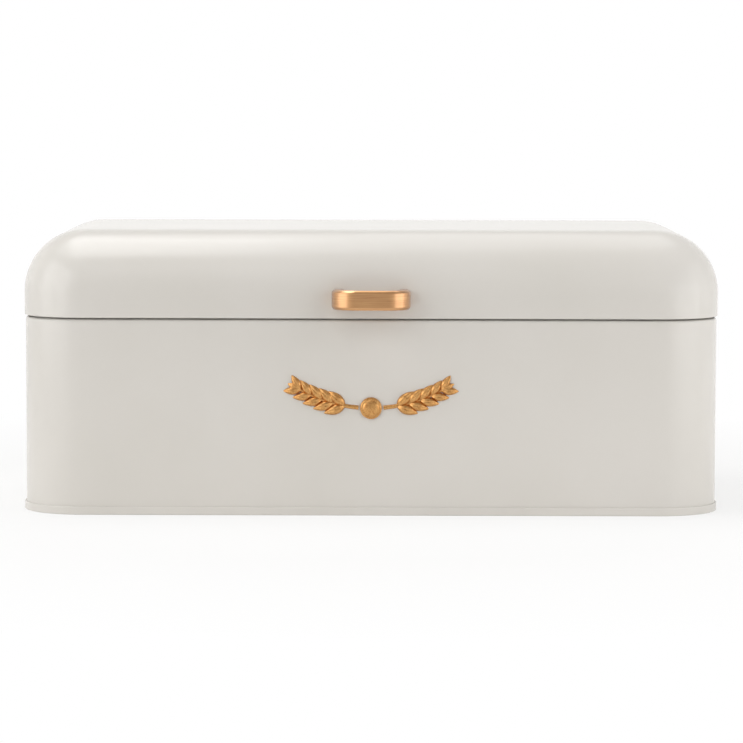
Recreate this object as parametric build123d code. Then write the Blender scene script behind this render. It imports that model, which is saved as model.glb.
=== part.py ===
from build123d import *
from math import asin, cos, degrees, radians, sin
import os

# Bread box of painted sheet steel with a hinged lid, in millimetres.
# +Z is up, the front faces -Y, and the box stands on the rolled seam of its base at z = 0.

# Overall form
lid_width = 420.0
lid_depth = 222.0
body_height = 117.5  # table to the shoulder under the lid
skirt_height = 14.0  # upright band of the lid below its rounded top edge
top_edge_radius = 37.5
corner_ease = 0.5  # the vertical corners are this much rounder than the top edge
sheet = 0.6  # painted steel sheet
lid_overhang = 0.7  # the lid stands proud of the body all round

# Lid seat
seat_gap = 0.8  # lid hem above the shoulder
hem_height = 5.0
neck_clearance = 0.7  # lid hem to the neck inside it
neck_height = 6.0
curl_radius = 1.6  # rolled safe edge on top of the neck

# Base
base_sheet = 0.5
seam_height = 5.0  # base rim folded up outside the wall
rim_hem = 3.5  # upper part of the rim, folded double
seam_clearance = 0.05
base_bend_radius = 0.1  # inside radius of the base's tight folds
panel_lift = 3.2  # base panel above the table
panel_bend_radius = 1.0
step_inset = 22.0  # wall to the raised middle of the base
step_rise = 1.6
step_run = 5.0
step_land = 1.0  # flat beyond the slope

# Lap joint of the wall, inside at the middle of the back
lap_width = 8.0
lap_margin = 2.0  # lap to the base panel and to the shoulder

# Air holes in the back
vent_radius = 2.0
vent_pitch = 14.0
vent_count = 8
vent_drop = 34.0  # shoulder to the row of holes

# Hinges
hinge_spacing = 240.0  # middle of one hinge to the middle of the other
hinge_length = 50.0
leaf_sheet = 1.0
pin_radius = 1.25
pin_clearance = 0.05
pin_head_radius = 2.1
pin_head_height = 0.8
knuckle_length = 11.0  # each outer knuckle, on the body's leaf
knuckle_gap = 0.3
roll_angle = 270.0  # how far a knuckle is rolled round its pin
crank_rise = 2.0  # height over which a leaf is cranked out to its knuckle
tongue_width = 9.0
tongue_slit = 0.6
tongue_length = 4.5
stop_clearance = 0.1  # tongue to the body's leaf with the lid fully open
open_angle = 100.0
body_leaf_drop = 21.0  # hinge axis to the lower edge of the body's leaf
lid_leaf_margin = 1.2  # lid's leaf to the top of the skirt
leaf_corner = 2.5

# Hinge rivets
rivet_spacing = 34.0
body_rivet_drop = 13.0  # hinge axis to the rivets of the body's leaf
rivet_radius = 1.5
rivet_clearance = 0.05
rivet_head_radius = 2.7
rivet_head_height = 1.2
rivet_tail_radius = 2.3
rivet_tail_height = 0.9

# Handle
handle_width = 47.0
handle_height = 12.0
handle_reach = 20.0
handle_rise = 11.7  # lid hem to the middle of the handle
strap_thickness = 3.0
handle_leg = 7.0
handle_bend = 14.0
strap_edge = 1.3

# Handle screws
screw_radius = 2.0
screw_clearance = 0.05
screw_depth = 8.0  # thread inside the handle's leg
screw_drop = 1.0  # middle of the handle to the screws
lid_hole_clearance = 0.2
screw_head_radius = 3.2
screw_head_height = 2.3
screw_slot_width = 0.9
screw_slot_depth = 1.1
washer_radius = 3.6
washer_thickness = 0.6

# Front ornament, two wheat ears and a boss
emblem_height = 72.0  # table to the middle of the ornament
boss_radius = 6.5
boss_edge = 1.2
boss_dome = 1.7
ear_gap = 1.0  # boss to the stem of an ear
ear_curve = 88.0  # radius of the curved stems
ear_sag = 7.5  # middle of the ornament down to the boss
stem_length = 36.0
stem_radius = 1.3
kernel_length = 13.5
kernel_width = 6.2
kernel_angle = 30.0
kernel_pairs = 5
kernel_pitch = 5.6
kernel_taper = 0.05  # each pair is this much smaller than the one before
stud_radius = 1.1
stud_clearance = 0.1
stud_length = 3.5  # behind the ornament's flat back
stud_places = (0.25, 0.8)  # along the stem
push_nut_radius = 3.6
push_nut_thickness = 0.4
push_nut_clearance = 0.03

# Sizes that follow from these
corner_radius = top_edge_radius + corner_ease
lid_bottom = body_height + seat_gap
lid_top = lid_bottom + skirt_height + top_edge_radius
body_width = lid_width - 2 * lid_overhang
body_depth = lid_depth - 2 * lid_overhang
body_corner_radius = corner_radius - lid_overhang
hem_thickness = 2 * sheet
neck_inset = hem_thickness + neck_clearance - lid_overhang
wall_foot = base_sheet + seam_clearance
panel_top = panel_lift + step_rise + base_sheet
knuckle_radius = pin_radius + pin_clearance + leaf_sheet
roll_radius = knuckle_radius - leaf_sheet / 2  # middle of a knuckle's sheet
knuckle_clear = knuckle_radius + knuckle_gap
axis_behind_lid = knuckle_radius + leaf_sheet + stop_clearance - lid_overhang
axis_behind_body = axis_behind_lid + lid_overhang
axis_y = lid_depth / 2 + axis_behind_lid
axis_z = body_height
lid_leaf_top = lid_bottom + skirt_height - lid_leaf_margin - axis_z
lid_rivet_rise = lid_bottom + (hem_height + skirt_height) / 2 - axis_z
tongue_turn = radians(180 + open_angle)
tongue_foot = Vector(cos(tongue_turn), sin(tongue_turn)) * roll_radius
tongue_tip = tongue_foot + Vector(-sin(tongue_turn), cos(tongue_turn)) * tongue_length
screw_x = (handle_width - handle_leg) / 2
ear_start = boss_radius + ear_gap
rear_reach = axis_behind_lid + tongue_tip.X + leaf_sheet / 2
middle_shift = (handle_reach - rear_reach) / 2

# Local frames of the outer faces: x to the right as one looks at the face, y up, z out of it
lid_front = Plane((0, -lid_depth / 2, lid_bottom + handle_rise), x_dir=(1, 0, 0), z_dir=(0, -1, 0))
body_front = Plane((0, -body_depth / 2, emblem_height), x_dir=(1, 0, 0), z_dir=(0, -1, 0))
lid_back = Plane((0, lid_depth / 2, axis_z + lid_rivet_rise), x_dir=(-1, 0, 0), z_dir=(0, 1, 0))
body_back = Plane((0, body_depth / 2, axis_z - body_rivet_drop), x_dir=(-1, 0, 0), z_dir=(0, 1, 0))

upright = (Align.CENTER, Align.CENTER, Align.MIN)


def strip(path, thickness):
    """Section of a bent sheet along its middle line, with rounded edges."""
    return make_face(offset(path, thickness / 2, side=Side.BOTH).edges())


def carried_round(section, width, depth, radius):
    """Carries an upright section round a rectangle with rounded corners."""
    run_x = width - 2 * radius
    run_y = depth - 2 * radius
    turn = revolve(Pos(radius, 0, 0) * section, Axis.Z, 90)
    flank = Pos(width / 2, -run_y / 2, 0) * extrude(section, run_y, dir=(0, 1, 0))
    face = Pos(depth / 2, -run_x / 2, 0) * extrude(section, run_x, dir=(0, 1, 0))
    half = [
        flank,
        Pos(run_x / 2, run_y / 2, 0) * turn,
        Rot(0, 0, 90) * face,
        Pos(-run_x / 2, run_y / 2, 0) * Rot(0, 0, 90) * turn,
    ]
    return Part() + half + [Rot(0, 0, 180) * piece for piece in half]


def wall_holes(plane, places, radius, depth):
    """Drills through a wall from its outer face."""
    drill = Cylinder(radius, 2 * depth)
    return [plane.location * Pos(x, y, 0) * drill for x, y in places]


def rivet_places():
    """Rivets across both hinges, from the middle of the back."""
    middles = (-hinge_spacing / 2, hinge_spacing / 2)
    return [(middle + side * rivet_spacing / 2, 0) for middle in middles for side in (-1, 1)]


def ear_place(distance):
    """A place along a curved stem, with x pointing to the ear's tip."""
    turn = degrees((ear_start + distance) / ear_curve)
    return Pos(0, ear_curve - ear_sag, 0) * Rot(0, 0, turn) * Pos(0, -ear_curve, 0)


def stud_offsets():
    """Studs of the ornament, from its middle."""
    points = [ear_place(share * stem_length).position for share in stud_places]
    return [(side * point.X, point.Y) for side in (-1, 1) for point in points] + [(0, -ear_sag)]


def make_lid_shell():
    spring = lid_bottom + skirt_height
    hem_foot = lid_bottom + sheet
    hem_top = lid_bottom + hem_height
    section = make_face([
        Line((0, hem_foot), (0, spring)),
        CenterArc((-top_edge_radius, spring), top_edge_radius, 0, 90),
        Line((-top_edge_radius, lid_top), (-top_edge_radius, lid_top - sheet)),
        CenterArc((-top_edge_radius, spring), top_edge_radius - sheet, 0, 90),
        Line((-sheet, spring), (-sheet, hem_top)),
        Line((-sheet, hem_top), (-hem_thickness, hem_top)),
        Line((-hem_thickness, hem_top), (-hem_thickness, hem_foot)),
        CenterArc((-sheet, hem_foot), sheet, 180, 180),
    ])
    shell = carried_round(Plane.XZ * section, lid_width, lid_depth, corner_radius)
    flat = RectangleRounded(lid_width - 2 * top_edge_radius, lid_depth - 2 * top_edge_radius, corner_ease)
    shell += Pos(0, 0, lid_top - sheet) * extrude(flat, sheet)
    shell -= wall_holes(lid_back, rivet_places(), rivet_radius + rivet_clearance, hem_thickness)
    screw_places = [(-screw_x, -screw_drop), (screw_x, -screw_drop)]
    shell -= wall_holes(lid_front, screw_places, screw_radius + lid_hole_clearance, hem_thickness)
    return shell


def make_body_wrap():
    half = sheet / 2
    bend = neck_inset / 2
    wall_top = body_height - half - bend
    neck_foot = wall_top + neck_inset
    curl_z = body_height + neck_height - curl_radius
    path = Line((-half, wall_foot + half), (-half, wall_top))
    path += CenterArc((-half - bend, wall_top), bend, 0, 90)
    path += CenterArc((-half - bend, neck_foot), bend, 270, -90)
    path += Line((-half - neck_inset, neck_foot), (-half - neck_inset, curl_z))
    path += CenterArc((-neck_inset - curl_radius, curl_z), curl_radius - half, 0, 270)
    section = Plane.XZ * strip(path, sheet)
    wrap = carried_round(section, body_width, body_depth, body_corner_radius)
    lap_bottom = panel_top + lap_margin
    lap_height = wall_top - lap_margin - lap_bottom
    lap = Box(lap_width, sheet, lap_height, align=(Align.CENTER, Align.MAX, Align.MIN))
    wrap += Pos(0, body_depth / 2 - sheet, lap_bottom) * lap
    wrap -= wall_holes(body_back, rivet_places(), rivet_radius + rivet_clearance, hem_thickness)
    first_vent = -(vent_count - 1) * vent_pitch / 2
    vents = [(first_vent + i * vent_pitch, body_rivet_drop - vent_drop) for i in range(vent_count)]
    wrap -= wall_holes(body_back, vents, vent_radius, hem_thickness)
    wrap -= wall_holes(body_front, stud_offsets(), stud_radius + stud_clearance, hem_thickness)
    return wrap


def make_bottom_pan():
    half = base_sheet / 2
    rim = seam_clearance + base_sheet + half
    inner = -(sheet + seam_clearance + half)
    fold = base_bend_radius + half
    bend = panel_bend_radius + half
    floor = panel_lift + half
    slope_end = step_inset + step_run
    hem_middle = seam_height - rim_hem / 2
    path = Line((rim, hem_middle), (rim, half + fold))
    path += CenterArc((rim - fold, half + fold), fold, 0, -90)
    path += Line((rim - fold, half), (inner + fold, half))
    path += CenterArc((inner + fold, half + fold), fold, 270, -90)
    path += Line((inner, half + fold), (inner, floor - bend))
    path += CenterArc((inner - bend, floor - bend), bend, 0, 90)
    path += Line((inner - bend, floor), (-step_inset, floor))
    path += Line((-step_inset, floor), (-slope_end, floor + step_rise))
    path += Line((-slope_end, floor + step_rise), (-slope_end - step_land, floor + step_rise))
    hem = Pos(rim - half, hem_middle) * SlotOverall(rim_hem, 2 * base_sheet, rotation=90)
    section = Plane.XZ * (strip(path, base_sheet) + hem)
    pan = carried_round(section, body_width, body_depth, body_corner_radius)
    inset = slope_end + step_land / 2
    middle = RectangleRounded(body_width - 2 * inset, body_depth - 2 * inset, body_corner_radius - inset)
    return pan + Pos(0, 0, panel_lift + step_rise) * extrude(middle, base_sheet)


def leaf_run(section, start, length):
    """A stretch of a leaf along its hinge, from the hinge's left end."""
    return Pos(start - hinge_length / 2, axis_y, axis_z) * extrude(Plane.YZ * section, length)


def crank_path(wall_y, lean):
    """Middle line of a leaf from the wall, above or below the pin, cranked out to the pin's height."""
    leaf_y = wall_y + leaf_sheet / 2
    start = lean * (knuckle_radius + crank_rise)
    outer = lean * (knuckle_radius + crank_rise / 2)
    inner = lean * (knuckle_radius - crank_rise / 2)
    return Polyline((leaf_y, start), (leaf_y, outer), (-roll_radius, inner), (-roll_radius, 0))


def leaf_plate(wall_y, near_z, far_z):
    """Flat of a leaf along the wall, with its two far corners rounded."""
    middle = Pos(wall_y + leaf_sheet / 2, (near_z + far_z) / 2)
    plate = leaf_run(middle * Rectangle(leaf_sheet, abs(far_z - near_z)), 0, hinge_length)
    by_height = plate.edges().filter_by(Axis.Y).group_by(Axis.Z)
    return fillet(by_height[-1] if far_z > near_z else by_height[0], leaf_corner)


def make_body_leaf():
    leaf = leaf_plate(-axis_behind_body, -knuckle_clear, -body_leaf_drop)
    roll = CenterArc((0, 0), roll_radius, 180, -roll_angle)
    knuckle = strip(crank_path(-axis_behind_body, -1) + roll, leaf_sheet)
    for start in (0, hinge_length - knuckle_length):
        leaf += leaf_run(knuckle, start, knuckle_length)
    places = [(-rivet_spacing / 2, 0), (rivet_spacing / 2, 0)]
    return leaf - wall_holes(body_back, places, rivet_radius + rivet_clearance, hem_thickness + leaf_sheet)


def make_lid_leaf():
    leaf = leaf_plate(-axis_behind_lid, knuckle_clear, lid_leaf_top)
    crank = crank_path(-axis_behind_lid, 1)
    knuckle = strip(crank + CenterArc((0, 0), roll_radius, 180, roll_angle), leaf_sheet)
    inner_start = knuckle_length + knuckle_gap
    tongue_start = (hinge_length - tongue_width) / 2
    inner_length = tongue_start - tongue_slit - inner_start
    for start in (inner_start, hinge_length - inner_start - inner_length):
        leaf += leaf_run(knuckle, start, inner_length)
    tongue = crank + CenterArc((0, 0), roll_radius, 180, open_angle) + Line(tongue_foot, tongue_tip)
    leaf += leaf_run(strip(tongue, leaf_sheet), tongue_start, tongue_width)
    places = [(-rivet_spacing / 2, 0), (rivet_spacing / 2, 0)]
    return leaf - wall_holes(lid_back, places, rivet_radius + rivet_clearance, hem_thickness + leaf_sheet)


def make_hinge_pin():
    pin = Cylinder(pin_radius, hinge_length + 2 * pin_head_height)
    head = Cylinder(pin_head_radius, pin_head_height)
    for side in (-1, 1):
        pin += Pos(0, 0, side * (hinge_length + pin_head_height) / 2) * head
    return Pos(0, axis_y, axis_z) * Rot(0, 90, 0) * pin


def dome(radius, height):
    """Round head on the plane z = 0."""
    ball = (radius**2 + height**2) / (2 * height)
    edge_angle = degrees(asin(1 - height / ball))
    crown = make_face([
        Line((0, 0), (radius, 0)),
        CenterArc((0, height - ball), ball, edge_angle, 90 - edge_angle),
        Line((0, height), (0, 0)),
    ])
    return revolve(Plane.XZ * crown, Axis.Z, 360)


def make_rivets(plane):
    tail = Cylinder(rivet_tail_radius, rivet_tail_height, align=upright)
    tail = Pos(0, 0, -sheet - rivet_tail_height) * tail
    shank = Pos(0, 0, -sheet) * Cylinder(rivet_radius, sheet + leaf_sheet, align=upright)
    rivet = tail + shank + Pos(0, 0, leaf_sheet) * dome(rivet_head_radius, rivet_head_height)
    return [plane.location * Pos(side * rivet_spacing / 2, 0, 0) * rivet for side in (-1, 1)]


def make_handle():
    outer = Pos(0, handle_reach / 2) * Rectangle(handle_width, handle_reach)
    outer = fillet(outer.vertices().group_by(Axis.Y)[-1], handle_bend)
    gap_depth = handle_reach - strap_thickness
    gap = Pos(0, gap_depth / 2) * Rectangle(handle_width - 2 * handle_leg, gap_depth)
    gap = fillet(gap.vertices().group_by(Axis.Y)[-1], handle_bend - strap_thickness)
    bow = extrude(Plane.XZ * (outer - gap), handle_height / 2, both=True)
    rims = [edge for face in bow.faces().filter_by(Axis.Y) for edge in face.edges()]
    bow = fillet([edge for edge in rims if edge.center().Z > strap_edge], strap_edge)
    hole = Cylinder(screw_radius + screw_clearance, screw_depth + screw_clearance, align=upright)
    for side in (-1, 1):
        bow -= Pos(side * screw_x, -screw_drop, 0) * hole
    return lid_front.location * bow


def make_handle_screws():
    head_z = -sheet - washer_thickness
    head = Cylinder(screw_head_radius, screw_head_height, align=upright)
    head = fillet(head.edges().group_by(Axis.Z)[0], screw_head_height / 2)
    for turn in (0, 90):
        slot = Box(screw_slot_width, screw_head_radius, screw_slot_depth, align=upright)
        head -= Rot(0, 0, turn) * slot
    shank = Pos(0, 0, head_z) * Cylinder(screw_radius, screw_depth - head_z, align=upright)
    screw = Pos(0, 0, head_z - screw_head_height) * head + shank
    return [lid_front.location * Pos(side * screw_x, -screw_drop, 0) * screw for side in (-1, 1)]


def make_handle_washers():
    ring = Circle(washer_radius) - Circle(screw_radius + lid_hole_clearance)
    washer = Pos(0, 0, -sheet - washer_thickness) * extrude(ring, washer_thickness)
    return [lid_front.location * Pos(side * screw_x, -screw_drop, 0) * washer for side in (-1, 1)]


def make_kernel(size):
    """A grain along +X, pointed at both ends."""
    length = size * kernel_length
    back = ThreePointArc((0, 0), (length / 2, size * kernel_width / 2), (length, 0))
    return revolve(make_face([back, Line((length, 0), (0, 0))]), Axis.X, 360)


def make_stud():
    return Pos(0, 0, -stud_length) * Cylinder(stud_radius, stud_length + stem_radius / 2, align=upright)


def make_wheat_ear(side):
    """Half-round curved ear to the right or left of the boss, flat on its back."""
    start = degrees(ear_start / ear_curve) - 90
    path = CenterArc((0, ear_curve - ear_sag), ear_curve, start, degrees(stem_length / ear_curve))
    ear = sweep(Plane(path @ 0, z_dir=path % 0) * Circle(stem_radius), path)
    first = stem_length - kernel_pairs * kernel_pitch
    for i in range(kernel_pairs):
        kernel = make_kernel(1 - i * kernel_taper)
        for lean in (-1, 1):
            ear += ear_place(first + i * kernel_pitch) * Rot(0, 0, lean * kernel_angle) * kernel
    tip = make_kernel(1 - kernel_pairs * kernel_taper)
    ear += ear_place(first + kernel_pairs * kernel_pitch - stem_radius) * tip
    ear &= Box(lid_width, lid_width, kernel_width, align=upright)
    for share in stud_places:
        ear += ear_place(share * stem_length) * make_stud()
    return body_front.location * (ear if side > 0 else mirror(ear, Plane.YZ))


def make_emblem_boss():
    boss = Cylinder(boss_radius, boss_edge, align=upright)
    boss += Pos(0, 0, boss_edge) * dome(boss_radius, boss_dome)
    return body_front.location * Pos(0, -ear_sag, 0) * (boss + make_stud())


def make_push_nuts():
    ring = Circle(push_nut_radius) - Circle(stud_radius + push_nut_clearance)
    nut = Pos(0, 0, -sheet - push_nut_thickness) * extrude(ring, push_nut_thickness)
    return [body_front.location * Pos(x, y, 0) * nut for x, y in stud_offsets()]


def make_nodes():
    nodes = {
        "body_wrap": make_body_wrap(),
        "bottom_pan": make_bottom_pan(),
        "lid_shell": make_lid_shell(),
        "handle": make_handle(),
        "handle_screws": make_handle_screws(),
        "handle_washers": make_handle_washers(),
        "emblem_left_ear": make_wheat_ear(-1),
        "emblem_right_ear": make_wheat_ear(1),
        "emblem_boss": make_emblem_boss(),
        "emblem_push_nuts": make_push_nuts(),
    }
    for hand, side in (("left", -1), ("right", 1)):
        place = Pos(side * hinge_spacing / 2, 0, 0)
        nodes[f"hinge_{hand}_body_leaf"] = place * make_body_leaf()
        nodes[f"hinge_{hand}_lid_leaf"] = place * make_lid_leaf()
        nodes[f"hinge_{hand}_pin"] = place * make_hinge_pin()
        nodes[f"hinge_{hand}_body_rivets"] = [place * rivet for rivet in make_rivets(body_back)]
        nodes[f"hinge_{hand}_lid_rivets"] = [place * rivet for rivet in make_rivets(lid_back)]
    return nodes


os.makedirs("parts", exist_ok=True)
to_middle = Pos(0, middle_shift, 0)  # the origin lies under the middle of the whole box
for name, shape in make_nodes().items():
    pieces = shape if isinstance(shape, list) else [shape]
    solids = [solid for piece in pieces for solid in (to_middle * piece).solids()]
    export_step(Compound(solids), f"parts/{name}.step")
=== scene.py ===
import bpy
import bmesh
from math import atan, cos, degrees, dist, exp, hypot, pi, radians, sin, sqrt, tan
from mathutils import Matrix, Vector


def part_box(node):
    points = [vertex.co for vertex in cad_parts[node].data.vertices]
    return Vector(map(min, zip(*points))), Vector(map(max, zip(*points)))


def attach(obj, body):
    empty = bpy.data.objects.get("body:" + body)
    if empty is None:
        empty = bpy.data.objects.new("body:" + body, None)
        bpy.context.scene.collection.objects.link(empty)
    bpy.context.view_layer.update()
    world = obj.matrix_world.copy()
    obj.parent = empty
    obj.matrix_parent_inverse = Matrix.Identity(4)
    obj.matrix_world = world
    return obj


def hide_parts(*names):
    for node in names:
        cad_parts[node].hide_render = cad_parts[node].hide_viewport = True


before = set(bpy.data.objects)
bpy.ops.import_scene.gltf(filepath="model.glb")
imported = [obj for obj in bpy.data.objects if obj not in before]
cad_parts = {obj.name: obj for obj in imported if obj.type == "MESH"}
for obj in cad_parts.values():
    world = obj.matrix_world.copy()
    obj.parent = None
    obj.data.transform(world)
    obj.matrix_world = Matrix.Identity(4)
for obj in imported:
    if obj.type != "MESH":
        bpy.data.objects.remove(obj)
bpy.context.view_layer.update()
scene = bpy.context.scene
mm = 0.001  # sizes below are in millimetres; lamps, camera and the reach of the shadow are in metres
lidLow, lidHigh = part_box("lid_shell")
middleY = (lidLow.y + lidHigh.y) / 2  # the sheet-steel box lies a little behind the whole object's middle
print("frame loaded:", len(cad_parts), "nodes")


# Small tools

def addNode(tree, kind, links=None, **settings):
    node = tree.nodes.new(kind)
    for name, value in settings.items():
        setattr(node, name, value)
    for socket, source in (links or {}).items():
        if isinstance(source, bpy.types.NodeSocket):
            tree.links.new(source, node.inputs[socket])
        else:
            node.inputs[socket].default_value = source
    return node


def linear(hexColour):
    shares = [int(hexColour[i:i + 2], 16) / 255 for i in (1, 3, 5)]
    return [s / 12.92 if s <= 0.04045 else ((s + 0.055) / 1.055) ** 2.4 for s in shares] + [1.0]


def newMaterial(name):
    material = bpy.data.materials.new(name)
    material.use_nodes = True
    tree = material.node_tree
    tree.nodes.clear()
    shader = addNode(tree, "ShaderNodeBsdfPrincipled")
    addNode(tree, "ShaderNodeOutputMaterial", {"Surface": shader.outputs["BSDF"]})
    return material, tree, shader


def newPiece(name, points, edges=(), faces=()):
    mesh = bpy.data.meshes.new(name)
    mesh.from_pydata([[c * mm for c in point] for point in points], edges, faces)
    piece = bpy.data.objects.new(name, mesh)
    scene.collection.objects.link(piece)
    return piece


def makePlain(piece):
    # the evaluated shape becomes the piece's own mesh and its modifiers go
    graph = bpy.context.evaluated_depsgraph_get()
    plain = bpy.data.meshes.new_from_object(piece.evaluated_get(graph), preserve_all_data_layers=True, depsgraph=graph)
    piece.modifiers.clear()
    piece.data = plain
    plain.name = piece.name


def newTree(name, **sockets):
    tree = bpy.data.node_groups.new(name, "GeometryNodeTree")
    tree.interface.new_socket("Geometry", in_out="INPUT", socket_type="NodeSocketGeometry")
    for label, kind in sockets.items():
        tree.interface.new_socket(label, in_out="INPUT", socket_type="NodeSocket" + kind)
    tree.interface.new_socket("Geometry", in_out="OUTPUT", socket_type="NodeSocketGeometry")
    return tree, addNode(tree, "NodeGroupInput").outputs


def endTree(tree, given, geometry):
    whole = addNode(tree, "GeometryNodeRealizeInstances", {"Geometry": geometry})
    dressed = addNode(tree, "GeometryNodeSetMaterial", {"Geometry": whole.outputs[0], "Material": given["material"]})
    addNode(tree, "NodeGroupOutput", {"Geometry": dressed.outputs[0]})
    return tree


def useTree(piece, tree, **values):
    modifier = piece.modifiers.new(tree.name, "NODES")
    modifier.node_group = tree
    for item in tree.interface.items_tree:
        if item.in_out == "INPUT" and item.name in values:
            modifier[item.identifier] = values[item.name]


def cleanMesh(piece, fillEnds=False, sharpAngle=40, shift=(0, 0, 0), mergeGap=0.002):
    # merges seams, closes the flats, points every face outwards and marks hard edges
    mesh = bmesh.new()
    mesh.from_mesh(piece.data)
    bmesh.ops.remove_doubles(mesh, verts=mesh.verts, dist=mergeGap * mm)
    if fillEnds:
        bmesh.ops.holes_fill(mesh, edges=[e for e in mesh.edges if e.is_boundary], sides=0)
    bmesh.ops.translate(mesh, verts=mesh.verts, vec=shift)
    bmesh.ops.recalc_face_normals(mesh, faces=mesh.faces)
    for face in mesh.faces:
        face.smooth = True
    for edge in mesh.edges:
        edge.smooth = len(edge.link_faces) == 2 and edge.calc_face_angle() < radians(sharpAngle)
    mesh.to_mesh(piece.data)
    mesh.free()


def weighNormals(piece, flatWeight=90):
    # flats stay flat to the light right up to their rounded edges
    modifier = piece.modifiers.new("flatFirst", "WEIGHTED_NORMAL")
    modifier.keep_sharp = True
    modifier.weight = flatWeight
    makePlain(piece)


def finishPiece(piece, body, slot, *nodes):
    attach(piece, body)
    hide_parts(*nodes)
    print("piece:", piece.name, len(piece.data.polygons), "faces")


def drawSheet(start, heading, moves, arcStep):
    # a bent sheet's middle line: lengths run straight, pairs are (radius, degrees) bends, left is plus
    x, z = start
    angle = radians(heading)
    trail = [(x, z, angle)]
    for move in moves:
        if isinstance(move, tuple):
            radius, bend = move
            side = 1 if bend > 0 else -1
            centreX = x - side * radius * sin(angle)
            centreZ = z + side * radius * cos(angle)
            count = max(3, round(abs(bend) / arcStep))
            for i in range(1, count + 1):
                turned = angle + radians(bend) * i / count
                trail.append((centreX + side * radius * sin(turned), centreZ - side * radius * cos(turned), turned))
        else:
            trail.append((x + move * cos(angle), z + move * sin(angle), angle))
        x, z, angle = trail[-1]
    return trail


def sheetEnd(x, z, angle, half, steps=6):
    # round edge of the sheet, from its left side to its right
    turns = [angle + pi / 2 - pi * i / steps for i in range(1, steps)]
    return [(x + half * cos(turn), z + half * sin(turn)) for turn in turns]


def sheetOutline(trail, thickness, joined):
    # joined: the last end runs on into a flat panel and stays open
    half = thickness / 2
    left = [(x - half * sin(a), z + half * cos(a)) for x, z, a in trail]
    right = [(x + half * sin(a), z - half * cos(a)) for x, z, a in trail]
    x, z, angle = trail[0]
    firstEnd = sheetEnd(x, z, angle + pi, half)
    lastEnd = [] if joined else sheetEnd(*trail[-1], half)
    return lastEnd + right[::-1] + firstEnd + left


# Materials

def layFinish(tree, shader, look, toneBy, roughBy, bumpBy=None):
    # one pattern tints the surface, one varies its gloss, and one may give it relief
    tone = addNode(tree, "ShaderNodeValToRGB", {"Fac": toneBy})
    for stop, place, colour in zip(tone.color_ramp.elements, look["toneReach"], (look["dark"], look["pale"])):
        stop.position = place
        stop.color = linear(colour)
    rough = addNode(tree, "ShaderNodeMapRange", {"Value": roughBy, "From Min": look["roughReach"][0],
                                                 "From Max": look["roughReach"][1], "To Min": look["roughness"][0],
                                                 "To Max": look["roughness"][1]})
    tree.links.new(tone.outputs["Color"], shader.inputs["Base Color"])
    tree.links.new(rough.outputs["Result"], shader.inputs["Roughness"])
    if bumpBy is not None:
        bump = addNode(tree, "ShaderNodeBump", {"Height": bumpBy, "Strength": look["bump"],
                                                "Distance": look["depth"] * mm})
        tree.links.new(bump.outputs["Normal"], shader.inputs["Normal"])


paint = {"dark": "#D9D5CE", "pale": "#DEDAD4", "toneReach": (0.3, 0.7), "roughness": (0.21, 0.23),
         "roughReach": (0.3, 0.7), "cloud": 110, "peel": 2.0, "bump": 0.35, "depth": 0.0008, "ior": 1.5}


def makePaint():
    # satin powder coat on steel: even warm grey, soft wide highlights, a trace of orange peel
    material, tree, shader = newMaterial("satinPowderCoat")
    place = addNode(tree, "ShaderNodeTexCoord").outputs["Object"]
    cloud = addNode(tree, "ShaderNodeTexNoise", {"Vector": place, "Scale": 1 / (paint["cloud"] * mm), "Detail": 3.0})
    peel = addNode(tree, "ShaderNodeTexNoise", {"Vector": place, "Scale": 1 / (paint["peel"] * mm), "Detail": 1.0})
    layFinish(tree, shader, paint, cloud.outputs["Fac"], peel.outputs["Fac"], peel.outputs["Fac"])
    shader.inputs["IOR"].default_value = paint["ior"]
    return material


gold = {"dark": "#B97B40", "pale": "#D6A263", "toneReach": (0.25, 0.75), "roughness": (0.26, 0.36),
        "roughReach": (0.25, 0.75), "line": 0.45, "run": 22, "bump": 0.5, "depth": 0.006,
        "lacquer": {"Coat Weight": 1.0, "Coat Roughness": 0.2, "Coat IOR": 1.8}}


def makeBrushedGold():
    # warm brass plate, brushed along the strap and lacquered; real lines are near 0.1 mm, drawn coarser to show
    material, tree, shader = newMaterial("brushedBrassPlate")
    along = addNode(tree, "ShaderNodeUVMap", uv_map="strap")
    squeeze = addNode(tree, "ShaderNodeMapping", {"Vector": along.outputs["UV"],
                                                  "Scale": (1 / (gold["run"] * mm), 1 / (gold["line"] * mm), 1)})
    lines = addNode(tree, "ShaderNodeTexNoise", {"Vector": squeeze.outputs["Vector"], "Scale": 1.0, "Detail": 3.0})
    layFinish(tree, shader, gold, lines.outputs["Fac"], lines.outputs["Fac"], lines.outputs["Fac"])
    shader.inputs["Metallic"].default_value = 1.0
    for socket, value in gold["lacquer"].items():
        shader.inputs[socket].default_value = value
    return material


castGold = {"dark": "#B57A43", "pale": "#D9A86A", "toneReach": (0.25, 0.65), "roughness": (0.28, 0.42),
            "roughReach": (0.3, 0.7), "grain": 0.9, "bump": 0.3, "depth": 0.02}


def makeCastGold():
    # the same plate on a small casting: satin, with the faint unevenness of a tumbled surface
    material, tree, shader = newMaterial("castBrassPlate")
    place = addNode(tree, "ShaderNodeTexCoord").outputs["Object"]
    grit = addNode(tree, "ShaderNodeTexNoise", {"Vector": place, "Scale": 1 / (castGold["grain"] * mm), "Detail": 2.0})
    layFinish(tree, shader, castGold, grit.outputs["Fac"], grit.outputs["Fac"], grit.outputs["Fac"])
    shader.inputs["Metallic"].default_value = 1.0
    return material


zinc = {"dark": "#B2B4B3", "pale": "#C2C4C2", "toneReach": (0.3, 0.7), "roughness": (0.3, 0.37),
        "roughReach": (0.3, 0.7), "cloud": 9.0, "scratch": 0.3, "stretch": 0.03, "bump": 0.4, "depth": 0.008}


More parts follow.
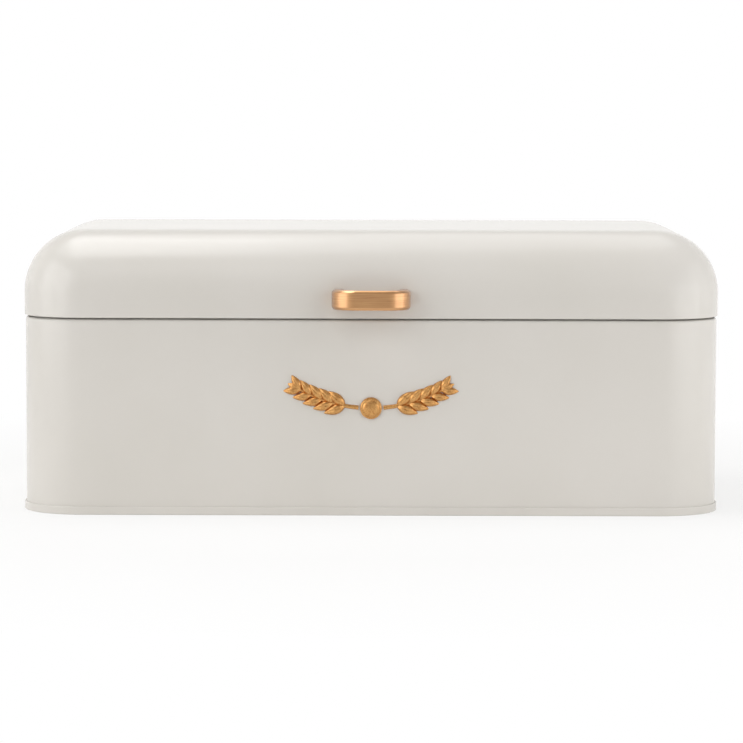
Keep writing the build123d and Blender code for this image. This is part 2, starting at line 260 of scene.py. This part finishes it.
def makeZinc():
    # bright zinc plate on rolled steel strip: cool grey, cloudy passivation, fine rolling lines along X
    material, tree, shader = newMaterial("brightZincPlate")
    place = addNode(tree, "ShaderNodeTexCoord").outputs["Object"]
    cloud = addNode(tree, "ShaderNodeTexNoise", {"Vector": place, "Scale": 1 / (zinc["cloud"] * mm), "Detail": 4.0})
    drawn = addNode(tree, "ShaderNodeMapping", {"Vector": place, "Scale": (zinc["stretch"], 1, 1)})
    lines = addNode(tree, "ShaderNodeTexNoise", {"Vector": drawn.outputs["Vector"], "Scale": 1 / (zinc["scratch"] * mm),
                                                 "Detail": 2.0})
    layFinish(tree, shader, zinc, cloud.outputs["Fac"], cloud.outputs["Fac"], lines.outputs["Fac"])
    shader.inputs["Metallic"].default_value = 1.0
    return material


phosphate = {"dark": "#2B2A28", "pale": "#44423E", "toneReach": (0.3, 0.7), "roughness": (0.5, 0.7),
             "roughReach": (0.3, 0.7), "grain": 0.5, "metal": 0.6}


def makePhosphate():
    # spring steel in black phosphate: dark, dry and slightly mottled
    material, tree, shader = newMaterial("blackPhosphateSteel")
    place = addNode(tree, "ShaderNodeTexCoord").outputs["Object"]
    mottle = addNode(tree, "ShaderNodeTexNoise", {"Vector": place, "Scale": 1 / (phosphate["grain"] * mm),
                                                  "Detail": 3.0})
    layFinish(tree, shader, phosphate, mottle.outputs["Fac"], mottle.outputs["Fac"])
    shader.inputs["Metallic"].default_value = phosphate["metal"]
    return material


paintFinish = makePaint()
brushedFinish = makeBrushedGold()
castFinish = makeCastGold()
zincFinish = makeZinc()
phosphateFinish = makePhosphate()
print("materials made:", len(bpy.data.materials))


# Sheet-steel shells: one section carried round a rectangle with rounded corners

def makeCarryTree():
    tree, given = newTree("carryRound", width="Float", depth="Float", corner="Float", steps="Int", material="Material")
    rectangle = addNode(tree, "GeometryNodeCurvePrimitiveQuadrilateral",
                        {"Width": given["width"], "Height": given["depth"]})
    route = addNode(tree, "GeometryNodeFilletCurve",
                    {"Curve": rectangle.outputs[0], "Count": given["steps"], "Radius": given["corner"]}, mode="POLY")
    section = addNode(tree, "GeometryNodeMeshToCurve", {"Mesh": given["Geometry"]})
    sheet = addNode(tree, "GeometryNodeCurveToMesh", {"Curve": route.outputs[0], "Profile Curve": section.outputs[0]})
    return endTree(tree, given, sheet.outputs[0])


def makePunchTree():
    tree, given = newTree("punchRow", count="Int", pitch="Float", radius="Float", sides="Int", first="Vector",
                          length="Float", material="Material")
    step = addNode(tree, "ShaderNodeCombineXYZ", {"X": given["pitch"]})
    row = addNode(tree, "GeometryNodeMeshLine",
                  {"Count": given["count"], "Start Location": given["first"], "Offset": step.outputs[0]})
    punch = addNode(tree, "GeometryNodeMeshCylinder",
                    {"Vertices": given["sides"], "Radius": given["radius"], "Depth": given["length"]})
    punches = addNode(tree, "GeometryNodeInstanceOnPoints",
                      {"Points": row.outputs[0], "Instance": punch.outputs[0], "Rotation": (pi / 2, 0, 0)})
    solid = addNode(tree, "GeometryNodeRealizeInstances", {"Geometry": punches.outputs[0]})
    cut = addNode(tree, "GeometryNodeMeshBoolean", {"Mesh 1": given["Geometry"], "Mesh 2": solid.outputs[0]},
                  operation="DIFFERENCE", solver="EXACT")
    return endTree(tree, given, cut.outputs[0])


carryTree = makeCarryTree()
punchTree = makePunchTree()


def carryRound(name, outline, shape, joined):
    last = len(outline) - 1
    edges = [(i, i + 1) for i in range(last)] + ([] if joined else [(last, 0)])
    piece = newPiece(name, [(x, -z, 0) for x, z in outline], edges)
    useTree(piece, carryTree, width=shape["width"] * mm, depth=shape["depth"] * mm, corner=shape["corner"] * mm,
            steps=shape["steps"], material=paintFinish)
    makePlain(piece)
    cleanMesh(piece, fillEnds=joined, shift=(0, middleY, 0))
    return piece


lid = {"width": 420, "depth": 222, "corner": 38, "steps": 28, "foot": 118.05, "skirt": 14.25, "topEdge": 37.5,
       "sheet": 0.57, "hemThick": 1.2, "hemHeight": 5, "arcStep": 3.2}


def makeLid():
    half = lid["sheet"] / 2
    fold = lid["hemThick"] / 2 - half
    foldZ = lid["foot"] + lid["hemThick"] / 2
    hemRun = lid["hemHeight"] - lid["hemThick"] / 2 - half
    skirtRun = lid["foot"] + lid["skirt"] - foldZ
    trail = drawSheet((half - lid["hemThick"], foldZ + hemRun), -90,
                      [hemRun, (fold, 180), skirtRun, (lid["topEdge"] - half, 90)], lid["arcStep"])
    piece = carryRound("lidShell", sheetOutline(trail, lid["sheet"], True), lid, True)
    weighNormals(piece)
    finishPiece(piece, "lid", "powder_coat", "lid_shell")


wall = {"width": 418.6, "depth": 220.6, "corner": 37.3, "steps": 28, "foot": 0.55, "shoulder": 117.25,
        "neckInset": 3.4, "neckHeight": 6, "curl": 1.6, "sheet": 0.6, "arcStep": 10}
vents = {"count": 8, "pitch": 14, "radius": 2, "sides": 40, "height": 83.5, "punch": 6}
lap = {"width": 8, "low": 7.3, "high": 113.2, "thick": 0.6, "edge": 0.25}


def makeWall():
    # wide bends at the shoulder leave a soft dark line under the lid
    half = wall["sheet"] / 2
    bend = wall["neckInset"] / 2
    wallTop = wall["shoulder"] - half - bend
    neckRun = wall["shoulder"] + wall["neckHeight"] - wall["curl"] - wallTop - wall["neckInset"]
    trail = drawSheet((-half, wall["foot"] + half), 90, [
        wallTop - wall["foot"] - half, (bend, 90), (bend, -90), neckRun, (wall["curl"] - half, 270),
    ], wall["arcStep"])
    piece = carryRound("bodyWall", sheetOutline(trail, wall["sheet"], False), wall, False)
    firstVent = -(vents["count"] - 1) * vents["pitch"] / 2
    useTree(piece, punchTree, count=vents["count"], pitch=vents["pitch"] * mm, radius=vents["radius"] * mm,
            sides=vents["sides"], first=(firstVent * mm, middleY + wall["depth"] / 2 * mm, vents["height"] * mm),
            length=vents["punch"] * mm, material=paintFinish)
    makePlain(piece)
    cleanMesh(piece)
    weighNormals(piece)
    finishPiece(piece, "body", "powder_coat", "body_wrap")


def makeLap():
    # the wall's two ends overlap behind the middle of the back, inside
    y = wall["depth"] / 2 - wall["sheet"]
    side = lap["width"] / 2
    ease = lap["edge"]
    rounding = [(side - ease + ease * sin(radians(a)), y - lap["thick"] + ease - ease * cos(radians(a)))
                for a in (0, 30, 60, 90)]
    section = [(side, y)] + rounding[::-1] + [(-px, py) for px, py in rounding] + [(-side, y)]
    count = len(section)
    points = [(px, py, z) for z in (lap["low"], lap["high"]) for px, py in section]
    faces = [(i, (i + 1) % count, count + (i + 1) % count, count + i) for i in range(count)]
    piece = newPiece("wallLap", points, (), faces + [list(range(count)), list(range(count, 2 * count))])
    piece.data.materials.append(paintFinish)
    cleanMesh(piece, shift=(0, middleY, 0))
    weighNormals(piece)
    finishPiece(piece, "body", "powder_coat", "body_wrap")


base = {"width": 418.6, "depth": 220.6, "corner": 37.3, "steps": 28, "clearance": 0.05, "sheet": 0.48, "seam": 5,
        "hemThick": 1.0, "hemHeight": 3.5, "fold": 0.12, "lift": 3.22, "bend": 1.0, "stepInset": 22, "stepRun": 5,
        "stepRise": 1.6, "stepBend": 3, "land": 1, "arcStep": 10}


def makeBase():
    # the rim's edge is folded in and down between the rim and the wall
    half = base["sheet"] / 2
    hem = base["hemThick"] / 2 - half
    hemTop = base["seam"] - base["hemThick"] / 2
    hemRun = base["hemHeight"] - base["hemThick"] / 2 - half
    rim = base["clearance"] + base["hemThick"] - half
    inner = wall["sheet"] + base["clearance"] + half
    fold = base["fold"] + half
    bend = base["bend"] + half
    floor = base["lift"] + half
    slope = atan(base["stepRise"] / base["stepRun"])
    lead = base["stepBend"] * tan(slope / 2)
    trail = drawSheet((base["clearance"] + half, hemTop - hemRun), 90, [
        hemRun, (hem, -180), hemTop - half - fold, (fold, -90), rim + inner - 2 * fold, (fold, -90),
        floor - bend - half - fold, (bend, 90),
        base["stepInset"] - inner - bend - lead, (base["stepBend"], -degrees(slope)),
        hypot(base["stepRise"], base["stepRun"]) - 2 * lead, (base["stepBend"], degrees(slope)), base["land"],
    ], base["arcStep"])
    piece = carryRound("basePan", sheetOutline(trail, base["sheet"], True), base, True)
    weighNormals(piece)
    finishPiece(piece, "body", "powder_coat", "bottom_pan")


makeLid()
makeWall()
makeLap()
makeBase()


# Bow handle: a bent strap with bevelled edges

handle = {"width": 47, "reach": 20, "height": 11.7, "strap": 3, "leg": 7, "bend": 14, "middle": 129.95,
          "topEdge": (2.2, 1.65), "footEdge": (1.2, 1.7), "backEdge": (0.7, 0.7), "edgePower": 1.6, "bendSteps": 28,
          "edgeSteps": 10}


def bevelEdge(name):
    # offsets from the sharp corner, from the upright face to the level one, nearly flat between
    depth, height = handle[name]
    turns = [pi / 2 * i / handle["edgeSteps"] for i in range(handle["edgeSteps"] + 1)]
    return [(depth * (cos(t) ** handle["edgePower"] - 1), height * (sin(t) ** handle["edgePower"] - 1)) for t in turns]


def makeHandle():
    # the strap's outside and inside lines, seen from above
    side = handle["width"] / 2
    innerBend = handle["bend"] - handle["strap"]
    straight = handle["reach"] - handle["bend"]
    turns = [pi - pi / 2 * i / handle["bendSteps"] for i in range(handle["bendSteps"] + 1)]
    outer = [(-side, 0)] + [(-side + handle["bend"] + handle["bend"] * cos(t), straight + handle["bend"] * sin(t))
                            for t in turns]
    inner = [(handle["leg"] - side, 0)]
    inner += [(handle["leg"] - side + innerBend + innerBend * cos(t), straight + innerBend * sin(t)) for t in turns]
    outer += [(-x, y) for x, y in reversed(outer)]
    inner += [(-x, y) for x, y in reversed(inner)]
    # one ring of the section at each step along them
    high = handle["height"] / 2
    topEdge, footEdge, backEdge = [bevelEdge(name) for name in ("topEdge", "footEdge", "backEdge")]
    points, travel = [], [0]
    for k, ((ox, oy), (ix, iy)) in enumerate(zip(outer, inner)):
        thick = hypot(ox - ix, oy - iy)
        wide = thick / 2
        ring = [(wide + x, high + z) for x, z in topEdge] + [(-wide - x, high + z) for x, z in reversed(backEdge)]
        ring += [(-wide - x, -high - z) for x, z in backEdge] + [(wide + x, -high - z) for x, z in reversed(footEdge)]
        for across, up in ring:
            share = (across + wide) / thick
            points.append((ix + (ox - ix) * share, -(iy + (oy - iy) * share), up))
        if k:
            travel.append(travel[-1] + hypot(ox - outer[k - 1][0], oy - outer[k - 1][1]))
    # faces, with a map that runs along the strap for the brush lines
    ringSize = len(ring)
    faces, marks = [], []
    around = [0]
    for i in range(ringSize):
        around.append(around[-1] + dist(points[i], points[(i + 1) % ringSize]))
    for k in range(len(outer) - 1):
        for i in range(ringSize):
            j = (i + 1) % ringSize
            faces.append((k * ringSize + i, k * ringSize + j, (k + 1) * ringSize + j, (k + 1) * ringSize + i))
            marks += [(travel[k], around[i]), (travel[k], around[i + 1]),
                      (travel[k + 1], around[i + 1]), (travel[k + 1], around[i])]
    for k in (0, len(outer) - 1):
        faces.append([k * ringSize + i for i in range(ringSize)])
        marks += [(travel[k], around[i]) for i in range(ringSize)]
    piece = newPiece("bowHandle", points, (), faces)
    strapMap = piece.data.uv_layers.new(name="strap")
    for loop, (u, v) in zip(strapMap.data, marks):
        loop.uv = (u * mm, v * mm)
    piece.data.materials.append(brushedFinish)
    cleanMesh(piece, shift=(0, lidLow.y, handle["middle"] * mm))
    weighNormals(piece)
    finishPiece(piece, "lid", "satin_brass", "handle")


makeHandle()


# Front ornament: two wheat ears and a boss

ear = {"bow": 88, "sag": 7.5, "start": 7.5, "stem": 36, "stemRadius": 1.3, "stemEnd": 0.6, "stemSteps": 60,
       "stemSides": 20, "pairs": 5, "pitch": 5.6, "lean": 30, "taper": 0.05, "tipPlace": 0.97, "height": 72}
grain = {"length": 13.5, "width": 6.2, "rise": 2.9, "forward": 0.85, "blunt": 0.85, "crease": 0.5,
         "creaseWidth": 0.45, "rows": 24, "columns": 18}
boss = {"radius": 6.5, "rim": 1.2, "edge": ((0, 0.3), (0.12, 0.08), (0.35, 0)), "dome": 1.7, "groove": 4.9,
        "grooveWidth": 0.45, "grooveDepth": 0.35, "rings": 60, "steps": 72}
frontY = middleY - wall["depth"] / 2 * mm


def makeGrain():
    points, faces = [], []
    columns = grain["columns"]
    for i in range(grain["rows"] + 1):
        u = i / grain["rows"]
        swell = max(0.0, sin(pi * u ** grain["forward"])) ** grain["blunt"]
        for j in range(columns + 1):
            v = -cos(pi * j / columns)
            y = grain["width"] / 2 * swell * v
            crease = grain["crease"] * swell * exp(-(y / grain["creaseWidth"]) ** 2)
            rise = grain["rise"] * swell * sqrt(max(0.0, 1 - v * v))
            points.append((grain["length"] * u, y, rise - crease * (1 - v * v)))
    for i in range(grain["rows"]):
        for j in range(columns):
            k = i * (columns + 1) + j
            faces.append((k, k + 1, k + columns + 2, k + columns + 1))
    piece = newPiece("grain", points, (), faces)
    cleanMesh(piece, fillEnds=True, sharpAngle=60)
    return piece


def makeEarTree():
    tree, given = newTree("wheatEar", bow="Float", startAngle="Float", sweep="Float", bare="Float", stemRadius="Float",
                          stemEnd="Float", stemSteps="Int", stemSides="Int", pairs="Int", lean="Float", taper="Float",
                          tipPlace="Float", place="Vector", material="Material")
    arc = addNode(tree, "GeometryNodeCurveArc", {"Resolution": given["stemSteps"], "Radius": given["bow"],
                                                 "Start Angle": given["startAngle"], "Sweep Angle": given["sweep"]})
    along = addNode(tree, "GeometryNodeSplineParameter")
    thin = addNode(tree, "ShaderNodeMapRange", {"Value": along.outputs["Factor"], "To Min": 1.0,
                                                "To Max": given["stemEnd"]})
    ringShape = addNode(tree, "GeometryNodeCurvePrimitiveCircle",
                        {"Resolution": given["stemSides"], "Radius": given["stemRadius"]})
    stem = addNode(tree, "GeometryNodeCurveToMesh",
                   {"Curve": arc.outputs["Curve"], "Profile Curve": ringShape.outputs[0],
                    "Scale": thin.outputs["Result"], "Fill Caps": True})
    upper = addNode(tree, "GeometryNodeTrimCurve", {"Curve": arc.outputs["Curve"], "Start": given["bare"]})
    spots = addNode(tree, "GeometryNodeCurveToPoints", {"Curve": upper.outputs[0], "Count": given["pairs"]})
    order = addNode(tree, "GeometryNodeInputIndex")
    shrink = addNode(tree, "ShaderNodeMath", {0: order.outputs[0], 1: given["taper"]}, operation="MULTIPLY")
    size = addNode(tree, "ShaderNodeMath", {0: 1.0, 1: shrink.outputs[0]}, operation="SUBTRACT")
    forward = addNode(tree, "FunctionNodeAlignRotationToVector", {"Vector": spots.outputs["Tangent"]},
                      axis="X", pivot_axis="Z")
    tipSize = addNode(tree, "ShaderNodeMath", {0: given["pairs"], 1: given["taper"]}, operation="MULTIPLY")
    tipScale = addNode(tree, "ShaderNodeMath", {0: 1.0, 1: tipSize.outputs[0]}, operation="SUBTRACT")
    tipSpot = addNode(tree, "GeometryNodeSampleCurve",
                      {"Curves": arc.outputs["Curve"], "Factor": given["tipPlace"]}, mode="FACTOR")
    tipPoint = addNode(tree, "GeometryNodePoints", {"Count": 1, "Position": tipSpot.outputs["Position"]})
    tipForward = addNode(tree, "FunctionNodeAlignRotationToVector", {"Vector": tipSpot.outputs["Tangent"]},
                         axis="X", pivot_axis="Z")
    joined = addNode(tree, "GeometryNodeJoinGeometry", {"Geometry": stem.outputs[0]})
    tip = addNode(tree, "GeometryNodeInstanceOnPoints",
                  {"Points": tipPoint.outputs[0], "Instance": given["Geometry"], "Rotation": tipForward.outputs[0],
                   "Scale": tipScale.outputs[0]})
    tree.links.new(tip.outputs[0], joined.inputs["Geometry"])
    for side in (-1, 1):
        signed = addNode(tree, "ShaderNodeMath", {0: given["lean"], 1: side}, operation="MULTIPLY")
        spin = addNode(tree, "ShaderNodeCombineXYZ", {"Z": signed.outputs[0]})
        turned = addNode(tree, "FunctionNodeRotateRotation",
                         {"Rotation": forward.outputs[0], "Rotate By": spin.outputs[0]}, rotation_space="LOCAL")
        grains = addNode(tree, "GeometryNodeInstanceOnPoints",
                         {"Points": spots.outputs["Points"], "Instance": given["Geometry"],
                          "Rotation": turned.outputs[0], "Scale": size.outputs[0]})
        tree.links.new(grains.outputs[0], joined.inputs["Geometry"])
    placed = addNode(tree, "GeometryNodeTransform", {"Geometry": joined.outputs[0], "Translation": given["place"],
                                                     "Rotation": (pi / 2, 0, 0)})
    return endTree(tree, given, placed.outputs[0])


earTree = makeEarTree()


def makeEar(name, side, node):
    piece = makeGrain()
    piece.name = name
    first = ear["start"] / ear["bow"]
    useTree(piece, earTree, bow=ear["bow"] * mm, startAngle=-pi / 2 + side * first,
            sweep=side * ear["stem"] / ear["bow"], bare=1 - ear["pairs"] * ear["pitch"] / ear["stem"],
            stemRadius=ear["stemRadius"] * mm, stemEnd=ear["stemEnd"], stemSteps=ear["stemSteps"],
            stemSides=ear["stemSides"], pairs=ear["pairs"], lean=radians(ear["lean"]), taper=ear["taper"],
            tipPlace=ear["tipPlace"], place=(0, frontY, (ear["height"] + ear["bow"] - ear["sag"]) * mm),
            material=castFinish)
    makePlain(piece)
    finishPiece(piece, "body", "satin_brass", node)


def makeBoss():
    # a turned profile from the wall over the rim to the middle of the dome
    profile = [(boss["radius"], 0)] + [(boss["radius"] - inset, boss["rim"] - drop) for inset, drop in boss["edge"]]
    domeRadius = profile[-1][0]
    ball = (boss["radius"] ** 2 + boss["dome"] ** 2) / (2 * boss["dome"])
    for i in range(1, boss["rings"] + 1):
        r = domeRadius * (1 - i / boss["rings"])
        groove = boss["grooveDepth"] * exp(-((r - boss["groove"]) / boss["grooveWidth"]) ** 2)
        profile.append((r, boss["rim"] + sqrt(ball * ball - r * r) - ball + boss["dome"] - groove))
    points, faces = [], []
    for i in range(boss["steps"]):
        turn = 2 * pi * i / boss["steps"]
        points += [(r * cos(turn), -h, r * sin(turn)) for r, h in profile]
    rows = len(profile)
    for i in range(boss["steps"]):
        j = (i + 1) % boss["steps"]
        faces += [(i * rows + k, i * rows + k + 1, j * rows + k + 1, j * rows + k) for k in range(rows - 1)]
    piece = newPiece("earBoss", points, (), faces)
    piece.data.materials.append(castFinish)
    cleanMesh(piece, fillEnds=True, shift=(0, frontY, (ear["height"] - ear["sag"]) * mm))
    finishPiece(piece, "body", "satin_brass", "emblem_boss")


makeEar("leftEar", -1, "emblem_left_ear")
makeEar("rightEar", 1, "emblem_right_ear")
makeBoss()


# Hinge rivets

rivet = {"headRadius": 2.7, "headHeight": 1.2, "tailRadius": 2.3, "tailHeight": 0.9, "sides": 36, "rings": 20,
         "grip": 1.6, "leaf": 1.0, "hingeSpan": 240, "pairSpan": 34, "bodyHeight": 104.5, "lidHeight": 127.8}


def makeRivetTree():
    tree, given = newTree("rivetSet", headRadius="Float", headHeight="Float", tailRadius="Float", tailHeight="Float",
                          sides="Int", rings="Int", grip="Float", material="Material")
    hair = 0.001  # of the unit dome's radius
    ball = addNode(tree, "GeometryNodeMeshUVSphere",
                   {"Segments": given["sides"], "Rings": given["rings"], "Radius": 1.0})
    place = addNode(tree, "GeometryNodeInputPosition")
    parts = addNode(tree, "ShaderNodeSeparateXYZ", {0: place.outputs[0]})
    under = addNode(tree, "FunctionNodeCompare", {0: parts.outputs["Z"], 1: -hair}, operation="LESS_THAN")
    cap = addNode(tree, "GeometryNodeDeleteGeometry", {"Geometry": ball.outputs[0], "Selection": under.outputs[0]})
    disc = addNode(tree, "GeometryNodeMeshCircle", {"Vertices": given["sides"], "Radius": 1.0}, fill_type="NGON")
    shut = addNode(tree, "GeometryNodeJoinGeometry", {"Geometry": cap.outputs[0]})
    tree.links.new(disc.outputs[0], shut.inputs["Geometry"])
    dome = addNode(tree, "GeometryNodeMergeByDistance", {"Geometry": shut.outputs[0], "Distance": hair})
    headSize = addNode(tree, "ShaderNodeCombineXYZ", {"X": given["headRadius"], "Y": given["headRadius"],
                                                      "Z": given["headHeight"]})
    head = addNode(tree, "GeometryNodeTransform", {"Geometry": dome.outputs[0], "Scale": headSize.outputs[0]})
    tailSize = addNode(tree, "ShaderNodeCombineXYZ", {"X": given["tailRadius"], "Y": given["tailRadius"],
                                                      "Z": given["tailHeight"]})
    depth = addNode(tree, "ShaderNodeMath", {0: given["grip"], 1: -1.0}, operation="MULTIPLY")
    tailPlace = addNode(tree, "ShaderNodeCombineXYZ", {"Z": depth.outputs[0]})
    tail = addNode(tree, "GeometryNodeTransform", {"Geometry": dome.outputs[0], "Translation": tailPlace.outputs[0],
                                                   "Rotation": (pi, 0, 0), "Scale": tailSize.outputs[0]})
    whole = addNode(tree, "GeometryNodeJoinGeometry", {"Geometry": head.outputs[0]})
    tree.links.new(tail.outputs[0], whole.inputs["Geometry"])
    copies = addNode(tree, "GeometryNodeInstanceOnPoints",
                     {"Points": given["Geometry"], "Instance": whole.outputs[0], "Rotation": (-pi / 2, 0, 0)})
    return endTree(tree, given, copies.outputs[0])


rivetTree = makeRivetTree()


def makeRivets(name, body, backY, height, nodes):
    spots = [(hinge * rivet["hingeSpan"] / 2 + side * rivet["pairSpan"] / 2, backY + rivet["leaf"], height)
             for hinge in (-1, 1) for side in (-1, 1)]
    piece = newPiece(name, spots)
    useTree(piece, rivetTree, headRadius=rivet["headRadius"] * mm, headHeight=rivet["headHeight"] * mm,
            tailRadius=rivet["tailRadius"] * mm, tailHeight=rivet["tailHeight"] * mm, sides=rivet["sides"],
            rings=rivet["rings"], grip=rivet["grip"] * mm, material=zincFinish)
    makePlain(piece)
    cleanMesh(piece, shift=(0, middleY, 0))
    finishPiece(piece, body, "zinc_plate", *nodes)


makeRivets("bodyRivets", "body", wall["depth"] / 2, rivet["bodyHeight"],
           ("hinge_left_body_rivets", "hinge_right_body_rivets"))
makeRivets("lidRivets", "lid", lid["depth"] / 2, rivet["lidHeight"],
           ("hinge_left_lid_rivets", "hinge_right_lid_rivets"))


# Hinge leaves, pins, screws, washers and push nuts keep their CAD shape

for name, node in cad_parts.items():
    if any(word in name for word in ("leaf", "pin", "screws", "washers")):
        node.data.materials[0] = zincFinish
    elif "push_nuts" in name:
        node.data.materials[0] = phosphateFinish
print("CAD nodes dressed")


# Studio

studio = {"floorSide": 3000, "floorBack": 3000, "floorFront": 600, "floorColour": "#F2F1EF", "shadowShare": 0.3,
          "shadowReach": (0.3, 0.58), "fill": 0.15, "roomLight": 0.65, "roomSpread": (10, 40), "ceilingLight": 0.5,
          "ceilingRise": (12, 40)}
# "shines" says whether a lamp shows in what is glossy
lamps = {
    "topSheet": {"at": (-0.2, 0.25, 1.5), "size": (1.9, 1.2), "radiance": 1.28, "shines": True},
    "topBox": {"at": (-0.4, 0.03, 1.5), "size": (1.3, 0.6), "radiance": 2.3, "shines": True},
    "keyBox": {"at": (-0.85, -1.15, 0.6), "size": (0.5, 0.5), "radiance": 1.7, "shines": False},
    "leftBox": {"at": (-1.1, -0.6, 0.5), "size": (1.2, 1.0), "radiance": 1.72, "shines": True},
    "rightBox": {"at": (0.9, -0.6, 0.6), "size": (0.9, 0.9), "radiance": 1.5, "shines": False},
    "rightGlow": {"at": (0.95, -0.6, 0.2), "size": (0.9, 0.4), "radiance": 1.3, "shines": True},
    "rightSide": {"at": (1.3, -0.1, 0.5), "size": (0.8, 0.9), "radiance": 0.78, "shines": True},
    "frontBox": {"at": (-0.15, -1.2, 1.1), "size": (0.45, 0.45), "radiance": 2.9, "shines": False},
    "backBox": {"at": (0.3, 1.5, 0.9), "size": (1.4, 0.6), "radiance": 2.2, "shines": False},
}
lampAim = (0, 0, 0.1)


def sortRays(tree):
    # all kinds of ray, and one switch for those that show a thing itself and not only its light
    seen = addNode(tree, "ShaderNodeLightPath").outputs
    direct = addNode(tree, "ShaderNodeMath", {0: seen["Is Camera Ray"], 1: seen["Is Glossy Ray"]}, operation="ADD")
    shown = addNode(tree, "ShaderNodeMath", {0: direct.outputs[0], 1: seen["Is Transmission Ray"]}, operation="ADD",
                    use_clamp=True)
    return seen, shown.outputs[0]


def makeFloor():
    # white paper that shows as plain white, but for a share near the box that takes its shadow
    side, front, back = studio["floorSide"], -studio["floorFront"], studio["floorBack"]
    corners = [(-side, front, 0), (side, front, 0), (side, back, 0), (-side, back, 0)]
    floor = newPiece("floor", corners, (), [(0, 1, 2, 3)])
    material = bpy.data.materials.new("whitePaperFloor")
    material.use_nodes = True
    tree = material.node_tree
    tree.nodes.clear()
    shown = sortRays(tree)[1]
    place = addNode(tree, "ShaderNodeTexCoord").outputs["Object"]
    away = addNode(tree, "ShaderNodeVectorMath", {0: place}, operation="LENGTH")
    near = addNode(tree, "ShaderNodeMapRange", {"Value": away.outputs["Value"], "From Min": studio["shadowReach"][0],
                                                "From Max": studio["shadowReach"][1],
                                                "To Min": 1 - studio["shadowShare"], "To Max": 1.0})
    share = addNode(tree, "ShaderNodeMath", {0: shown, 1: near.outputs["Result"]}, operation="MULTIPLY")
    paper = addNode(tree, "ShaderNodeBsdfDiffuse", {"Color": linear(studio["floorColour"])})
    white = addNode(tree, "ShaderNodeEmission", {"Strength": 1.0})
    mixed = addNode(tree, "ShaderNodeMixShader", {0: share.outputs[0], 1: paper.outputs[0], 2: white.outputs[0]})
    addNode(tree, "ShaderNodeOutputMaterial", {"Surface": mixed.outputs[0]})
    floor.data.materials.append(material)


def makeWorld():
    world = bpy.data.worlds.new("whiteStudio")
    world.use_nodes = True
    tree = world.node_tree
    tree.nodes.clear()
    seen, shown = sortRays(tree)
    # what shines shows a dim room on the camera's side and a dim ceiling
    heading = addNode(tree, "ShaderNodeTexCoord").outputs["Generated"]
    facing = addNode(tree, "ShaderNodeVectorMath", {0: heading, 1: (0, -1, 0)}, operation="DOT_PRODUCT")
    room = addNode(tree, "ShaderNodeMapRange", {"Value": facing.outputs["Value"],
                                                "From Min": cos(radians(studio["roomSpread"][1])),
                                                "From Max": cos(radians(studio["roomSpread"][0])),
                                                "To Min": 1.0, "To Max": studio["roomLight"]})
    rise = addNode(tree, "ShaderNodeSeparateXYZ", {0: heading})
    ceiling = addNode(tree, "ShaderNodeMapRange", {"Value": rise.outputs["Z"],
                                                   "From Min": sin(radians(studio["ceilingRise"][0])),
                                                   "From Max": sin(radians(studio["ceilingRise"][1])),
                                                   "To Min": 1.0, "To Max": studio["ceilingLight"]})
    dimmed = addNode(tree, "ShaderNodeMath", {0: room.outputs["Result"], 1: ceiling.outputs["Result"]},
                     operation="MULTIPLY")
    strength = addNode(tree, "ShaderNodeMath", {0: dimmed.outputs[0], 1: seen["Is Camera Ray"]}, operation="MAXIMUM")
    fill = addNode(tree, "ShaderNodeBackground", {"Color": (1, 1, 1, 1), "Strength": studio["fill"]})
    white = addNode(tree, "ShaderNodeBackground", {"Color": (1, 1, 1, 1), "Strength": strength.outputs[0]})
    mixed = addNode(tree, "ShaderNodeMixShader", {0: shown, 1: fill.outputs[0], 2: white.outputs[0]})
    addNode(tree, "ShaderNodeOutputWorld", {"Surface": mixed.outputs[0]})
    scene.world = world


def makeLamps():
    for name, lamp in lamps.items():
        light = bpy.data.lights.new(name, "AREA")
        light.shape = "RECTANGLE"
        width, height = lamp["size"]
        light.size, light.size_y = width, height
        light.energy = lamp["radiance"] * pi * width * height
        holder = bpy.data.objects.new(name, light)
        scene.collection.objects.link(holder)
        holder.location = lamp["at"]
        holder.rotation_euler = (Vector(lampAim) - Vector(lamp["at"])).to_track_quat("-Z", "Y").to_euler()
        holder.visible_glossy = lamp["shines"]


camera = {"aim": (0.00027, 0.08651), "away": 2.1011, "pitch": 0.0818, "roll": 0.0027, "lens": 170.65, "sensor": 36}


def makeCamera():
    # placed by the box's own outline: an eye just above the lid, two metres off
    view = bpy.data.cameras.new("camera")
    view.lens = camera["lens"]
    view.sensor_width = camera["sensor"]
    holder = bpy.data.objects.new("camera", view)
    scene.collection.objects.link(holder)
    x, z = camera["aim"]
    turn = Matrix.Rotation(pi / 2 - camera["pitch"], 4, "X") @ Matrix.Rotation(camera["roll"], 4, "Z")
    back = camera["away"]
    eye = Vector((x, lidLow.y - back * cos(camera["pitch"]), z + back * sin(camera["pitch"])))
    holder.matrix_world = Matrix.Translation(eye) @ turn
    scene.camera = holder


makeFloor()
makeWorld()
makeLamps()
makeCamera()
scene.view_settings.view_transform = "Standard"
print("studio set")
